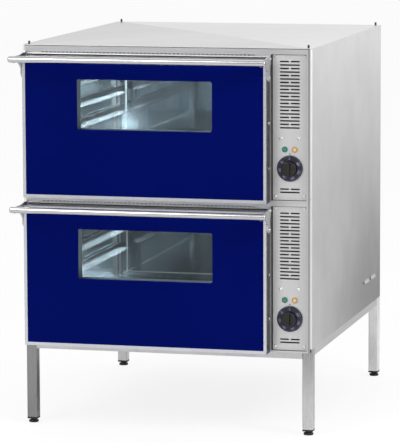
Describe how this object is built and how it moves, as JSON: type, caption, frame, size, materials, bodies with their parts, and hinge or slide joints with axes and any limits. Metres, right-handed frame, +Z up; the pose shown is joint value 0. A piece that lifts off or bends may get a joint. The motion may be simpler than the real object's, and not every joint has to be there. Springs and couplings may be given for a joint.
{
  "type": "deck oven",
  "caption": "Free-standing electric bakery oven with stacked baking chambers on a tubular stand, drop-down glazed doors and a column of controls beside each door.",
  "frame": {"origin": "on the floor, at the middle of the whole object's box seen from above", "axes": "+Z up, -Y towards the front (doors and controls), +X to the right when facing the front"},
  "size_m": [0.847, 1.136, 1.0995],
  "materials": {
    "cabinet_steel": "satin",
    "front_steel": "satin",
    "chamber_steel": "satin",
    "navy_paint": "semi-gloss",
    "door_steel": "satin",
    "glass": "clear",
    "polished_steel": "polished",
    "fixings": "satin",
    "stand_steel": "satin",
    "black_plastic": "matte",
    "knob_plastic": "satin",
    "green_lens": "gloss",
    "amber_lens": "gloss",
    "electrical": "matte",
    "mineral_wool": "matte",
    "element_sheath": "matte",
    "gasket": "matte"
  },
  "bodies": {
    "cabinet": {"back_panel": "cabinet_steel", "base_panel": "cabinet_steel", "cable_gland": "black_plastic", "centre_screws": "fixings", "chamber_lower": "chamber_steel", "chamber_upper": "chamber_steel", "control_plate_lower": "front_steel", "control_plate_upper": "front_steel", "corner_screws": "fixings", "door_gaskets": "gasket", "fascia_lower": "front_steel", "fascia_upper": "front_steel", "heating_elements": "element_sheath", "hinge_arms": "fixings", "insulation_lower": "mineral_wool", "insulation_upper": "mineral_wool", "lamps_amber": "amber_lens", "lamps_green": "green_lens", "leg_bl": "stand_steel", "leg_br": "stand_steel", "leg_fl": "stand_steel", "leg_fr": "stand_steel", "leg_inserts": "black_plastic", "mid_shelf": "cabinet_steel", "partition_panel": "cabinet_steel", "side_panel_left": "cabinet_steel", "side_panel_right": "cabinet_steel", "stacking_studs": "fixings", "stand_cross_rails": "stand_steel", "stand_side_rails": "stand_steel", "temperature_probes": "element_sheath", "terminal_block": "electrical", "thermostats": "electrical", "top_panel": "cabinet_steel", "tray_racks_lower": "chamber_steel", "tray_racks_upper": "chamber_steel"},
    "door_lower": {"door_frame_lower": "door_steel", "door_skin_lower": "navy_paint", "door_glass_outer_lower": "glass", "door_glass_inner_lower": "glass", "door_liner_lower": "door_steel", "hinge_clevis_lower": "fixings", "handle_bar_lower": "polished_steel", "handle_brackets_lower": "polished_steel", "door_side_screws_lower": "fixings"},
    "knob_lower": {"knob_lower": "knob_plastic"},
    "door_upper": {"door_frame_upper": "door_steel", "door_skin_upper": "navy_paint", "door_glass_outer_upper": "glass", "door_glass_inner_upper": "glass", "door_liner_upper": "door_steel", "hinge_clevis_upper": "fixings", "handle_bar_upper": "polished_steel", "handle_brackets_upper": "polished_steel", "door_side_screws_upper": "fixings"},
    "knob_upper": {"knob_upper": "knob_plastic"},
    "foot_fl": {"foot_fl": "black_plastic"},
    "foot_fr": {"foot_fr": "black_plastic"},
    "foot_bl": {"foot_bl": "black_plastic"},
    "foot_br": {"foot_br": "black_plastic"}
  },
  "joints": [
    {"name": "door_lower_hinge", "type": "hinge", "parent": "cabinet", "child": "door_lower", "pos_m": [0, -0.468, 0.2447], "axis": [1, 0, 0], "range_deg": [0, 90]},
    {"name": "knob_lower_turn", "type": "hinge", "parent": "cabinet", "child": "knob_lower", "pos_m": [0.3545, -0.4315, 0.331], "axis": [0, 1, 0], "range_deg": [0, 300]},
    {"name": "door_upper_hinge", "type": "hinge", "parent": "cabinet", "child": "door_upper", "pos_m": [0, -0.468, 0.6687], "axis": [1, 0, 0], "range_deg": [0, 90]},
    {"name": "knob_upper_turn", "type": "hinge", "parent": "cabinet", "child": "knob_upper", "pos_m": [0.3545, -0.4315, 0.755], "axis": [0, 1, 0], "range_deg": [0, 300]},
    {"name": "foot_fl_level", "type": "slide", "parent": "cabinet", "child": "foot_fl", "axis": [0, 0, -1], "range_m": [0, 0.025]},
    {"name": "foot_fr_level", "type": "slide", "parent": "cabinet", "child": "foot_fr", "axis": [0, 0, -1], "range_m": [0, 0.025]},
    {"name": "foot_bl_level", "type": "slide", "parent": "cabinet", "child": "foot_bl", "axis": [0, 0, -1], "range_m": [0, 0.025]},
    {"name": "foot_br_level", "type": "slide", "parent": "cabinet", "child": "foot_br", "axis": [0, 0, -1], "range_m": [0, 0.025]}
  ]
}
